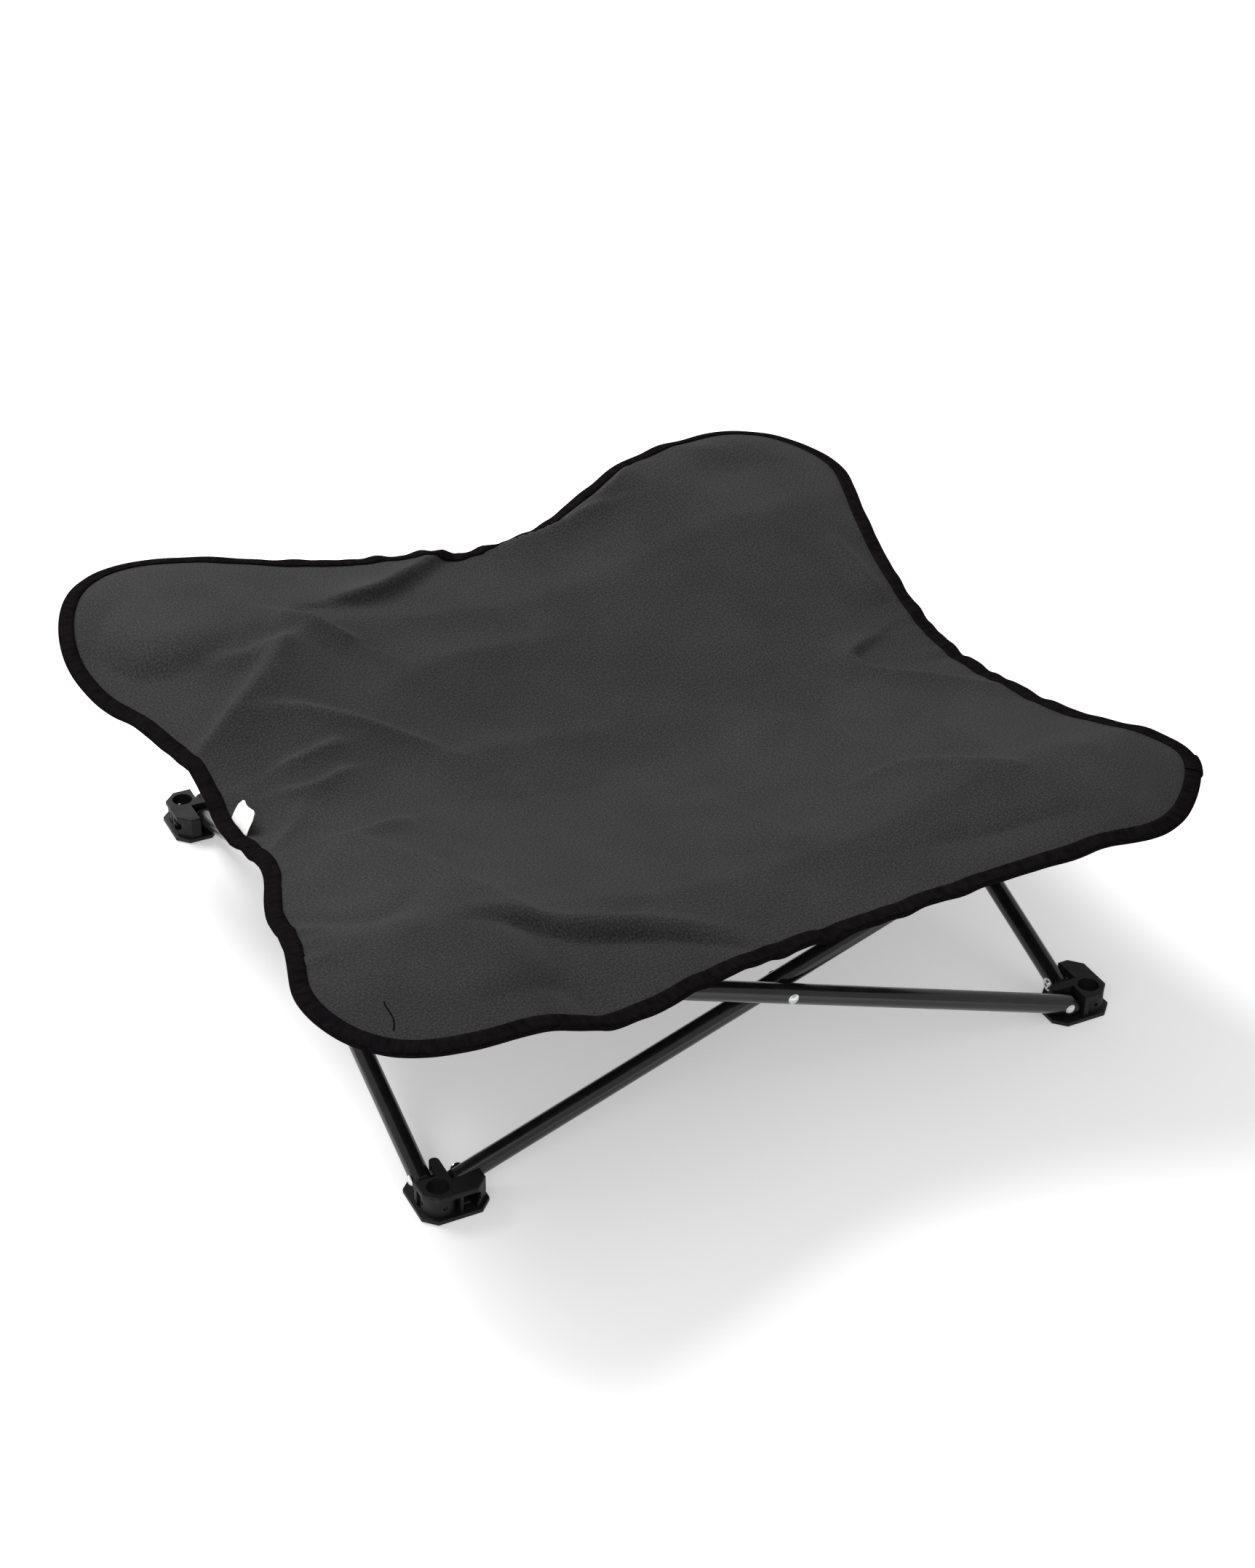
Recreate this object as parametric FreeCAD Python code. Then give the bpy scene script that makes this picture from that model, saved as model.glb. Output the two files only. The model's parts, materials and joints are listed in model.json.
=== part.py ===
"""Folding raised dog bed: a square scissor frame of eight tubes and eight corner hubs that carries a sling.

Millimetres, +Z up, origin on the floor under the middle of the bed. +X runs along the front side, +Y goes
to the back. The bed repeats four times round Z, so each part is made once at the front left corner or the
front side, and then turned by quarter turns: 0 is front left, 1 front right, 2 back right and 3 back left.
"""
import FreeCAD, Part
import math
import os
from FreeCAD import Vector

os.makedirs("parts", exist_ok=True)

# ---- driving dimensions of the frame ----
TUBE_RADIUS = 8.0
TUBE_WALL = 1.0
TUBE_OVERHANG = 3.0        # steel past each end pivot
LINK = 277.0               # end pivot to crossing pivot, along a tube
REST_ANGLE = 20.0          # slope of every tube with the bed set up, in degrees
PIVOT_REACH = 24.0         # bore axis to tube pivot, along the side
INNER_PLANE = 13.5         # bore axis to the inner tubes' middle plane, towards the middle of the bed
OUTER_PLANE = -4.0         # the same for the outer tubes, which run just outside the bore axes

# ---- hub moulding, in its own frame: bore axis at (0, 0), inner tube along +x, outer tube along +y ----
HUB_HEIGHT = 22.4
PLATE = 4.0
PIVOT_HEIGHT = 13.4
BORE_RADIUS = 8.7
BOSS_RADIUS = 13.0
PLATE_LOW = -16.5
PLATE_HIGH = 37.5
CORNER_CUT = 9.5           # the cut of the base plate's three outer corners
INNER_CORNER_CUT = 24.0    # and of the one that points to the middle of the bed
WING_END = 36.0
WING_OUT = -14.0
WING_IN = 4.5
WING_SIDE = 12.0           # the wing plate's edge on the outer tube's side of the bore
WING_CUT = 10.0            # its corner cuts
POST = 4.5                 # the square post under the wing plate's free corner
WEB = 3.0
RIB = 1.5
ARM_LOW = 4.5
ARM_HIGH = 12.5
ARM_END = 31.0
SHELF_HEIGHT = 10.2        # height of the stiffening shelf in the wing
SCREW_HOLE_RADIUS = 1.75
EDGE_BREAK = 0.8

# ---- rivets, washers and tube plugs ----
RIVET_RADIUS = 3.0
RIVET_HOLE_RADIUS = 3.05
HEAD_RADIUS = 4.4
HEAD_HEIGHT = 1.8
HEAD_CLEARANCE = 0.6
FLARE_RADIUS = 4.2
FLARE_HEIGHT = 1.4
HOLLOW_RADIUS = 1.65       # the hole in a rivet's rolled end
HOLLOW_DEPTH = 2.0
BACKING_RADIUS = 5.6
BACKING_THICKNESS = 0.8
WASHER_RADIUS = 7.0
WASHER_THICKNESS = 1.2
PLUG_NOSE_RADIUS = 8.3
PLUG_DEPTH = 12.0
PLUG_CLEARANCE = 0.1

# ---- sling, binding, corner pockets and label ----
EAR_RADIUS = 87.0          # each corner lobe of the cloth, about the hub's bore axis
SIDE_REACH = 322.0         # middle of the bed to the middle of each hollow side
BINDING_WIDTH = 12.0
CLOTH = 3.0
BINDING_EXTRA = 1.0        # the tape on each face of the cloth
CLEAR_OF_HUB = 0.5
MIDDLE_TOP = 145.0         # top of the cloth in the middle of the bed
SIDE_TOP = 180.0           # and at the middle of each side
LEVEL_FROM = 0.80          # the cloth lies level from this share of the way out to the bore axis
BOTTOM_ROUNDING = 0.35
EAR_DROOP = 4.0
QUARTER_GAP = 0.3          # each cloth quarter stops short of its edges by this
POCKET_CLOTH = 1.2
POCKET_DROP = 26.0
POCKET_SLOPE_WIDTH = 45.0
POCKET_MOUTH = 3.0         # at the mouth, the two distances in from the bore axis add up to this
POCKET_GAP = 3.0           # between the pocket and the sling
LABEL_LENGTH = 42.0
LABEL_HEIGHT = 24.0
LABEL_THICKNESS = 0.8
LABEL_MIDDLE = 24.0
LABEL_IN = 302.0

# ---- worked out from the driving dimensions ----
SLOPE = math.radians(REST_ANGLE)
HALF = PIVOT_REACH + LINK * math.cos(SLOPE)          # middle of the bed to a bore axis
TOP_PIVOT_HEIGHT = PIVOT_HEIGHT + 2 * LINK * math.sin(SLOPE)
FRAME_TOP = TOP_PIVOT_HEIGHT + PIVOT_HEIGHT
EAR_TOP = FRAME_TOP + CLEAR_OF_HUB + CLOTH
OUT = SIDE_REACH - HALF
SIDE_RADIUS = (HALF**2 + OUT**2 - EAR_RADIUS**2) / (2 * (EAR_RADIUS - OUT))
SIDE_CENTRE = SIDE_REACH + SIDE_RADIUS

CORNERS = ("front_left", "front_right", "back_right", "back_left")
SIDES = ("front", "right", "back", "left")
Z_AXIS = Vector(0, 0, 1)
ORIGIN = Vector(0, 0, 0)


def save(node, *solids):
    """Write one node, from one solid or several."""
    shape = solids[0] if len(solids) == 1 else Part.makeCompound(list(solids))
    shape.exportStep(f"parts/{node}.step")


def turned(shape, quarter):
    """A copy of a front or front left part, turned to another side or corner."""
    copy = shape.copy()
    copy.rotate(ORIGIN, Z_AXIS, 90 * quarter)
    return copy


def prism(points, low, high):
    """An upright prism on the outline through points."""
    wire = Part.makePolygon([Vector(x, y, low) for x, y in [*points, points[0]]])
    return Part.Face(wire).extrude(Vector(0, 0, high - low))


def box(low, high):
    """A box between two opposite corners."""
    size = [b - a for a, b in zip(low, high)]
    return Part.makeBox(*size, Vector(*low))


def rod(radius, start, end):
    """A cylinder between two points."""
    along = Vector(*end) - Vector(*start)
    return Part.makeCylinder(radius, along.Length, Vector(*start), along)


# ---- hubs ----
def shrunk(points, amount):
    """The outline moved in by amount, for a broken edge."""
    middle = Vector(sum(x for x, _ in points), sum(y for _, y in points), 0) * (1 / len(points))
    out = []
    for x, y in points:
        to_point = Vector(x, y, 0) - middle
        out.append(tuple(middle + to_point * (1 - amount / to_point.Length))[:2])
    return out


def broken_edge_plate(points, inner_face, outer_face):
    """A plate on an outline, with its outer face's edge broken."""
    step = math.copysign(EDGE_BREAK, outer_face - inner_face)
    outlines = ((points, outer_face - step), (shrunk(points, EDGE_BREAK), outer_face))
    wires = [Part.makePolygon([Vector(x, y, z) for x, y in [*p, p[0]]]) for p, z in outlines]
    body = prism(points, inner_face, outer_face - step)
    return body.fuse(Part.makeLoft(wires, True, True))


def base_plate():
    """The eight-sided plate that stands on the floor at a foot, and lies under the cloth at the top."""
    low, high, cut, inner = PLATE_LOW, PLATE_HIGH, CORNER_CUT, INNER_CORNER_CUT
    points = [
        (low, low + cut), (low + cut, low), (high - cut, low), (high, low + cut),
        (high, high - inner), (high - inner, high), (low + cut, high), (low, high - cut),
    ]
    return broken_edge_plate(points, PLATE, 0)


def wing_plate():
    """The second plate, round the bore and along the outer side of the inner tube."""
    cut = WING_OUT + WING_CUT
    points = [
        (WING_OUT, WING_SIDE), (WING_OUT, cut), (cut, WING_OUT), (WING_END - WING_CUT, WING_OUT),
        (WING_END, cut), (WING_END, WING_IN), (ARM_HIGH, WING_IN), (ARM_LOW, WING_SIDE),
    ]
    return broken_edge_plate(points, HUB_HEIGHT - PLATE, HUB_HEIGHT)


def wing_walls():
    """The web beside the inner tube, the wall round the wing's end, and the ribs between the plates."""
    low, high = PLATE / 2, HUB_HEIGHT - PLATE / 2
    inside = WING_END - WEB
    near, far = WING_OUT + 1, WING_IN - 1
    web = box((BORE_RADIUS, WING_IN - WEB, low), (WING_END, WING_IN, high))
    end_wall = prism([
        (WING_END, WING_IN), (inside, WING_IN), (inside, near + WING_CUT), (WING_END - WING_CUT - 1, near),
        (WING_END - WING_CUT, WING_OUT), (WING_END, WING_OUT + WING_CUT),
    ], low, high)
    rib = box((BOSS_RADIUS - 1, near, low), (BOSS_RADIUS + RIB, far, high))
    shelf = box((BOSS_RADIUS, near, SHELF_HEIGHT), (inside - POST, far, SHELF_HEIGHT + RIB))
    post = box((WING_OUT, WING_SIDE - POST, low), (WING_OUT + POST, WING_SIDE, high))
    return [web, end_wall, rib, shelf, post]


def arm():
    """The upright arm between the two tubes, which carries the outer tube's rivet."""
    half = (ARM_HIGH - ARM_LOW) / 2
    middle = ARM_LOW + half
    straight = box((ARM_LOW, 0, PLATE / 2), (ARM_HIGH, ARM_END - half, HUB_HEIGHT))
    nose = rod(half, (middle, ARM_END - half, PLATE / 2), (middle, ARM_END - half, HUB_HEIGHT))
    return straight.fuse(nose)


def hub_moulding():
    """The corner moulding. The same one serves as a foot and, turned over, as a top corner."""
    boss = rod(BOSS_RADIUS, (0, 0, PLATE / 2), (0, 0, HUB_HEIGHT - PLATE / 2))
    solid = base_plate().fuse([wing_plate(), boss, arm(), *wing_walls()])
    middle, reach, height = HUB_HEIGHT / 2, PIVOT_REACH, PIVOT_HEIGHT
    head_room = HEAD_RADIUS + HEAD_CLEARANCE
    cuts = [
        rod(BORE_RADIUS, (0, 0, -1), (0, 0, HUB_HEIGHT + 1)),
        rod(SCREW_HOLE_RADIUS, (0, WING_OUT, middle), (0, 0, middle)),
        rod(SCREW_HOLE_RADIUS, (WING_OUT, 0, middle), (0, 0, middle)),
        rod(RIVET_HOLE_RADIUS, (reach, 0, height), (reach, WING_IN + 1, height)),
        rod(RIVET_HOLE_RADIUS, (ARM_LOW - 1, reach, height), (ARM_HIGH + 1, reach, height)),
        rod(head_room, (reach, WING_OUT - 1, height), (reach, WING_IN - WEB, height)),
    ]
    return solid.cut(cuts).removeSplitter()


def to_foot(shape):
    """Move a shape from the moulding's frame to the front left foot."""
    copy = shape.copy()
    copy.translate(Vector(-HALF, -HALF, 0))
    return copy


def to_top(shape):
    """Turn a shape of the moulding's frame over about its diagonal, onto the front left top corner."""
    copy = shape.copy()
    copy.rotate(ORIGIN, Vector(1, 1, 0), 180)
    copy.translate(Vector(-HALF, -HALF, FRAME_TOP))
    return copy


# ---- rivets and washers ----
def rivet(grip):
    """A semi-tubular rivet along +Y: a low domed head below y = 0, and a rolled end past y = grip."""
    head = Part.makeSphere((HEAD_RADIUS**2 + HEAD_HEIGHT**2) / (2 * HEAD_HEIGHT))
    head.translate(Vector(0, head.BoundBox.YMax - HEAD_HEIGHT, 0))
    head = head.common(rod(HEAD_RADIUS, (0, -HEAD_HEIGHT, 0), (0, 0, 0)))
    shank = rod(RIVET_RADIUS, (0, 0, 0), (0, grip, 0))
    rolled = Part.makeCone(FLARE_RADIUS, RIVET_RADIUS, FLARE_HEIGHT, Vector(0, grip, 0), Vector(0, 1, 0))
    hollow = rod(HOLLOW_RADIUS, (0, grip - HOLLOW_DEPTH, 0), (0, grip + FLARE_HEIGHT, 0))
    return head.fuse([shank, rolled]).cut(hollow)


def ring(outer, inner, thickness):
    """A flat washer along +Y from y = 0."""
    return rod(outer, (0, 0, 0), (0, thickness, 0)).cut(rod(inner, (0, -1, 0), (0, thickness + 1, 0)))


def hub_rivets():
    """In the moulding's frame: the two rivets that the inner and the outer tube turn on."""
    inner_start = WING_IN - WEB
    inner_tube_face = INNER_PLANE + TUBE_RADIUS
    backing = ring(BACKING_RADIUS, RIVET_RADIUS, BACKING_THICKNESS)
    backing.translate(Vector(0, inner_tube_face - inner_start, 0))
    inner = rivet(inner_tube_face + BACKING_THICKNESS - inner_start).fuse(backing)
    inner.translate(Vector(PIVOT_REACH, inner_start, PIVOT_HEIGHT))
    outer_start = OUTER_PLANE - TUBE_RADIUS
    outer = rivet(ARM_HIGH - outer_start)
    outer.rotate(ORIGIN, Z_AXIS, -90)
    outer.translate(Vector(outer_start, PIVOT_REACH, PIVOT_HEIGHT))
    return [inner, outer]


def crossing(shape, y):
    """A shape moved to the front side's crossing pivot, at a distance y in from the bore axes."""
    copy = shape.copy()
    copy.translate(Vector(0, y - HALF, (PIVOT_HEIGHT + TOP_PIVOT_HEIGHT) / 2))
    return copy


# ---- tubes, made along +X from the foot pivot at the origin ----
def tube():
    """One steel tube, with the holes for its three rivets."""
    start, end = (-TUBE_OVERHANG, 0, 0), (2 * LINK + TUBE_OVERHANG, 0, 0)
    solid = rod(TUBE_RADIUS, start, end).cut(rod(TUBE_RADIUS - TUBE_WALL, start, end))
    reach = TUBE_RADIUS + 1
    holes = [rod(RIVET_HOLE_RADIUS, (x, -reach, 0), (x, reach, 0)) for x in (0, LINK, 2 * LINK)]
    return solid.cut(holes)


def end_plug():
    """The rounded plastic plug in the foot end of a tube."""
    bore_fit = TUBE_RADIUS - TUBE_WALL - PLUG_CLEARANCE
    reach = TUBE_RADIUS + 1
    nose = rod(TUBE_RADIUS, (-PLUG_NOSE_RADIUS - 1, 0, 0), (-TUBE_OVERHANG, 0, 0))
    nose = nose.common(rod(PLUG_NOSE_RADIUS, (0, -reach, 0), (0, reach, 0)))
    body = rod(bore_fit, (-TUBE_OVERHANG - 1, 0, 0), (PLUG_DEPTH, 0, 0))
    return nose.fuse(body).cut(rod(RIVET_HOLE_RADIUS, (0, -reach, 0), (0, reach, 0)))


def end_plugs():
    """The plugs for both ends of one tube."""
    foot_end = end_plug()
    top_end = foot_end.copy()
    top_end.rotate(Vector(LINK, 0, 0), Z_AXIS, 180)
    return [foot_end, top_end]


def to_inner(shape):
    """Move a tube's shape to the front side's inner tube, from the left foot up to the right."""
    copy = shape.copy()
    copy.rotate(ORIGIN, Vector(0, -1, 0), REST_ANGLE)
    copy.translate(Vector(PIVOT_REACH - HALF, INNER_PLANE - HALF, PIVOT_HEIGHT))
    return copy


def to_outer(shape):
    """Move a tube's shape to the front side's outer tube, from the right foot up to the left."""
    copy = shape.copy()
    copy.rotate(ORIGIN, Vector(0, -1, 0), REST_ANGLE)
    copy.rotate(ORIGIN, Z_AXIS, 180)
    copy.translate(Vector(HALF - PIVOT_REACH, OUTER_PLANE - HALF, PIVOT_HEIGHT))
    return copy


# ---- cloth ----
def edge_radius(angle):
    """Middle of the bed to the cloth's edge. The angle is in radians from the nearest side's middle line."""
    sine, cosine = math.sin(angle), math.cos(angle)
    along = HALF * (sine + cosine)
    in_ear = EAR_RADIUS**2 - 2 * HALF**2 + along**2
    touching = math.atan2(HALF * SIDE_RADIUS, HALF * SIDE_RADIUS + SIDE_CENTRE * EAR_RADIUS)
    if angle > touching:
        return along + math.sqrt(in_ear)
    return SIDE_CENTRE * cosine - math.sqrt(SIDE_RADIUS**2 - (SIDE_CENTRE * sine) ** 2)


def edge_at(heading):
    """The same, for any heading in radians round the whole bed."""
    from_side = abs((heading + math.pi / 4) % (math.pi / 2) - math.pi / 4)
    return edge_radius(from_side)


def rise(distance):
    """0 in the middle of the bed, climbing to 1 where the cloth reaches the level round the hub."""
    share = min(1.0, abs(distance) / (LEVEL_FROM * HALF))
    top = math.hypot(1, BOTTOM_ROUNDING) - BOTTOM_ROUNDING
    return (math.hypot(share, BOTTOM_ROUNDING) - BOTTOM_ROUNDING) / top


def cloth_top(x, y):
    """Height of the top of the cloth: highest round the hubs, with every side and the middle sagging."""
    across, along = rise(x), rise(y)
    side_lift = SIDE_TOP - MIDDLE_TOP
    corner_lift = EAR_TOP - MIDDLE_TOP - 2 * side_lift
    height = MIDDLE_TOP + side_lift * (across + along) + corner_lift * across * along
    past_hub = max(0.0, math.hypot(abs(x) - HALF, abs(y) - HALF) / EAR_RADIUS - 0.5) * 2
    in_ear = abs(x) + abs(y) > 2 * HALF
    return height - (EAR_DROOP * past_hub**2 if in_ear else 0.0)


def closed_sheet(rows, top, bottom):
    """A closed solid between two heights over a grid. Each row is a list of (x, y), all of one length."""
    count, width = len(rows), len(rows[0])
    points = [Vector(x, y, height(x, y)) for height in (top, bottom) for row in rows for x, y in row]
    layer = count * width

    def at(row, column, low=0):
        return low * layer + row * width + column

    facets = []
    for i in range(count - 1):
        for j in range(width - 1):
            corners = [at(i, j), at(i + 1, j), at(i + 1, j + 1), at(i, j + 1)]
            below = [c + layer for c in corners]
            facets += [(corners[0], corners[1], corners[2]), (corners[0], corners[2], corners[3])]
            facets += [(below[2], below[1], below[0]), (below[3], below[2], below[0])]
    rim = [(i, 0) for i in range(count)]
    rim += [(count - 1, j) for j in range(1, width)]
    rim += [(i, width - 1) for i in range(count - 2, -1, -1)]
    rim += [(0, j) for j in range(width - 2, 0, -1)]
    for (a, b), (c, d) in zip(rim, rim[1:] + rim[:1]):
        facets += [(at(c, d), at(a, b), at(a, b, 1)), (at(c, d), at(a, b, 1), at(c, d, 1))]
    return solid_of(points, facets)


def solid_of(points, facets):
    """A solid from triangles, leaving out those with no area."""
    kept = []
    for a, b, c in facets:
        if (points[b] - points[a]).cross(points[c] - points[a]).Length > 1e-6:
            kept.append((a, b, c))
    shape = Part.Shape()
    shape.makeShapeFromMesh((points, kept), 0.001)
    solid = Part.makeSolid(shape)
    if solid.Volume < 0:
        solid.reverse()
    return solid


def in_quarter(x, y):
    """A point of the front left quarter, kept off the quarter's two straight edges."""
    return min(x, -QUARTER_GAP), min(y, -QUARTER_GAP)


def quarter_headings():
    """Headings across the front left quarter, closer together round the ear."""
    first = math.pi
    shares = [0, 0.08, 0.16, 0.24, 0.31, 0.37, 0.4, 0.43, 0.465, 0.5]
    shares += [1 - s for s in reversed(shares[:-1])]
    return [first + s * math.pi / 2 for s in shares]


def quarter_rows(shares, width_in=0.0):
    """Rows of points across the front left quarter, at shares of the way out to width_in inside the edge."""
    rows = []
    for share in shares:
        row = []
        for heading in quarter_headings():
            reach = (edge_at(heading) - width_in) * share
            row.append(in_quarter(reach * math.cos(heading), reach * math.sin(heading)))
        rows.append(row)
    return rows


def sling_quarter():
    """The front left quarter of the padded cloth, up to the binding's inner edge."""
    shares = (0.02, 0.3, 0.5, 0.62, 0.7, 0.76, 0.82, 0.88, 1.0)
    rows = quarter_rows(shares, BINDING_WIDTH)
    return closed_sheet(rows, cloth_top, lambda x, y: cloth_top(x, y) - CLOTH)


def binding_quarter():
    """The woven tape folded round the cloth's edge, with the edge inside it."""
    rows = quarter_rows((1.0,), BINDING_WIDTH) + quarter_rows((1.0,))

    def top(x, y):
        return cloth_top(x, y) + BINDING_EXTRA

    def bottom(x, y):
        return cloth_top(x, y) - CLOTH - BINDING_EXTRA

    return closed_sheet(rows, top, bottom)


def pocket_reach(heading):
    """From the bore axis to the pocket's edge: the binding, or the straight mouth across the hub."""
    reach = EAR_RADIUS * 2
    step = 1.0
    distance = step
    while distance < reach:
        x = -HALF + distance * math.cos(heading)
        y = -HALF + distance * math.sin(heading)
        past_mouth = (x + HALF) + (y + HALF) > POCKET_MOUTH
        past_edge = math.hypot(x, y) > edge_at(math.atan2(y, x)) - BINDING_WIDTH - POCKET_GAP
        if past_mouth or past_edge:
            return distance - step
        distance += step
    return reach


def pocket_top(x, y):
    """The pocket's cloth slopes down from the binding, and cups the outer half of the hub."""
    in_from_edge = edge_at(math.atan2(y, x)) - BINDING_WIDTH - math.hypot(x, y)
    down = max(0.0, min(1.0, in_from_edge / POCKET_SLOPE_WIDTH))
    rim = cloth_top(x, y) - CLOTH - POCKET_GAP
    low = EAR_TOP - CLOTH - POCKET_DROP
    return rim + (low - rim) * down


def corner_pocket():
    """The second layer of cloth under the front left ear, which hooks over the outer half of the top hub."""
    steps = 48
    headings = [2 * math.pi * i / steps for i in range(steps)]
    shares = (0.3, 0.55, 0.75, 0.9, 1.0)
    points = [(-HALF, -HALF)]
    for share in shares:
        for heading in headings:
            reach = pocket_reach(heading) * share
            points.append((-HALF + reach * math.cos(heading), -HALF + reach * math.sin(heading)))
    heights = (pocket_top, lambda x, y: pocket_top(x, y) - POCKET_CLOTH)
    vectors = [Vector(x, y, height(x, y)) for height in heights for x, y in points]
    layer = len(points)
    facets = []
    for i in range(steps):
        after = (i + 1) % steps
        facets += [(0, 1 + i, 1 + after), (layer, layer + 1 + after, layer + 1 + i)]
        for ring_start in range(1, layer - steps, steps):
            a, b = ring_start + i, ring_start + after
            c, d = a + steps, b + steps
            facets += [(a, c, d), (a, d, b)]
            facets += [(layer + a, layer + d, layer + c), (layer + a, layer + b, layer + d)]
        rim_a, rim_b = layer - steps + i, layer - steps + after
        facets += [(rim_b, rim_a, rim_a + layer), (rim_b, rim_a + layer, rim_b + layer)]
    return solid_of(vectors, facets)


def care_label():
    """The small tab that stands at the binding's inner edge, in the middle of the left side."""
    ends = (LABEL_MIDDLE - LABEL_LENGTH / 2, LABEL_MIDDLE + LABEL_LENGTH / 2)
    foot = max(cloth_top(-LABEL_IN, y) for y in ends) + QUARTER_GAP
    return box((-LABEL_IN - LABEL_THICKNESS, ends[0], foot), (-LABEL_IN, ends[1], foot + LABEL_HEIGHT))


def build_frame():
    """Hubs, tubes, plugs, rivets and washers, four of each."""
    moulding = hub_moulding()
    rivets = hub_rivets()
    plugs = end_plugs()
    one_tube = tube()
    outer_face = OUTER_PLANE - TUBE_RADIUS
    cross_rivet = crossing(rivet(INNER_PLANE + TUBE_RADIUS - outer_face), outer_face)
    washer_start = (INNER_PLANE + OUTER_PLANE - WASHER_THICKNESS) / 2
    washer = crossing(ring(WASHER_RADIUS, RIVET_HOLE_RADIUS, WASHER_THICKNESS), washer_start)
    for quarter, (corner, side) in enumerate(zip(CORNERS, SIDES)):
        save(f"foot_hub_{corner}", turned(to_foot(moulding), quarter))
        save(f"top_hub_{corner}", turned(to_top(moulding), quarter))
        save(f"foot_rivets_{corner}", *[turned(to_foot(r), quarter) for r in rivets])
        save(f"top_rivets_{corner}", *[turned(to_top(r), quarter) for r in rivets])
        save(f"inner_tube_{side}", turned(to_inner(one_tube), quarter))
        save(f"outer_tube_{side}", turned(to_outer(one_tube), quarter))
        save(f"inner_tube_plugs_{side}", *[turned(to_inner(p), quarter) for p in plugs])
        save(f"outer_tube_plugs_{side}", *[turned(to_outer(p), quarter) for p in plugs])
        save(f"cross_rivet_{side}", turned(cross_rivet, quarter))
        save(f"cross_washer_{side}", turned(washer, quarter))


def build_cloth():
    """The sling, its binding and its corner pockets, in quarters, and the label."""
    sling, binding, pocket = sling_quarter(), binding_quarter(), corner_pocket()
    for quarter, corner in enumerate(CORNERS):
        save(f"sling_{corner}", turned(sling, quarter))
        save(f"binding_{corner}", turned(binding, quarter))
        save(f"pocket_{corner}", turned(pocket, quarter))
    save("care_label", care_label())


build_frame()
build_cloth()
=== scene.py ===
"""Looks of the folding dog bed: its sling, binding, corner pockets, label and thread, around the fixed frame.

Metres, +Z up, origin on the floor under the middle of the bed, +X along the front side and +Y to the back.
Corners and sides are counted from the front left corner and the front side: 0 is front left or front,
1 front right or right, 2 back right or back, and 3 back left or left.
"""

import json
import math

import bmesh
import bpy
import numpy as np
from mathutils import Matrix, Vector
from mathutils.bvhtree import BVHTree
from mathutils.kdtree import KDTree


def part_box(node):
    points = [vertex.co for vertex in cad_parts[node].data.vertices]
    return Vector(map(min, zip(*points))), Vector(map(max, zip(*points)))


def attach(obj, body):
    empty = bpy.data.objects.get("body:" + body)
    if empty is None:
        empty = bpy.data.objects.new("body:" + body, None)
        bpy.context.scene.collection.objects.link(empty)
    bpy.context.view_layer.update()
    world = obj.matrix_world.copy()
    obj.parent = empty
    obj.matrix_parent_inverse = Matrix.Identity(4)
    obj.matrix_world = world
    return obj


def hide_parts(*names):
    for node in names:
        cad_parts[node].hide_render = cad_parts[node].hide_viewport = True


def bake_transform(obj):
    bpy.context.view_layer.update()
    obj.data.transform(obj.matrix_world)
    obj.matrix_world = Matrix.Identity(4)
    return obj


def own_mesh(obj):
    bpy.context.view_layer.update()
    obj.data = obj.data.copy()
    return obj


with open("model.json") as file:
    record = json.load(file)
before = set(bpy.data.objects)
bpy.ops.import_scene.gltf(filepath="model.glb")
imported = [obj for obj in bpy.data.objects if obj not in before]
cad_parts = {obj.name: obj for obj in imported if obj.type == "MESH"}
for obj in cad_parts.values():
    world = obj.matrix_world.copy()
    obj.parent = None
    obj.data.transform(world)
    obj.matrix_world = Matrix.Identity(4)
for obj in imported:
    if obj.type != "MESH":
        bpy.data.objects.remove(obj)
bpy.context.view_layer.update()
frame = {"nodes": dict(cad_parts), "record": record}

# ---- sizes and places, from the frame ----
MOUNTS = {m["name"]: m for m in frame["record"]["mounts"]}
HALF = -MOUNTS["foot_bore_front_left"]["pos_m"][0]     # middle of the bed to a hub's bore axis
HUB_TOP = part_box("top_hub_front_left")[1].z
HUB_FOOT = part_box("top_hub_front_left")[0].z
EAR_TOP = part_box("sling_front_left")[1].z
CORNERS = ("front_left", "front_right", "back_right", "back_left")
SIDES = ("front", "right", "back", "left")

# ---- sizes of the cloth ----
EAR_RADIUS = 0.087         # corner lobes, about the bore axes
SIDE_REACH = 0.322         # middle of the bed to the middle of each hollow side
CLOTH = 0.0026             # thickness
MIDDLE_TOP = 0.145         # top of the cloth in the middle of the bed
SIDE_TOP = 0.180           # and at the middle of each side
LEVEL_FROM = 0.80          # the cloth is level from this share of the way out to the bore axis
BOTTOM_ROUNDING = 0.35     # how round the hollow's bottom is
EAR_DROOP = 0.005          # fall of an ear's tip below the hub's top
TAPE_WIDTH = 0.0116        # binding on each face of the cloth
TAPE = 0.0013              # its thickness
TAPE_STEP = 0.0035         # spacing of its sections
LAP_HEADINGS = (-41, -38.2)      # where the tape's ends lap, in degrees about the middle of the bed
LAP_THICKER = 1.9          # the lap's thickness over the tape's
SEAM = 0.248               # the cloth is split here, at the inner edge of the hubs' plates
GATHER = 0.262             # an anchor this far out for the middle's pieces, worked out but not used
GRID = 104                 # cells across the cloth before it is simulated
PLATE_MIDDLE = 0.0105      # bore axis to the middle of the hub's plate, in x and in y
PLATE_REACH = 0.034        # the cloth is kept on the hub's top this far from the plate's middle
NUDGE_CLEAR = 0.050        # the nudges die away about this far from the plate's middle
FOLD_CLEAR = 0.042         # and so do the folds
SETTLE_FRAMES = 24
SETTLE_MOST = 0.012        # no point may move further than this while the cloth settles
LOOSE_HOLD = 0.30          # how firmly the cloth is held to its plan away from the hubs

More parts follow.
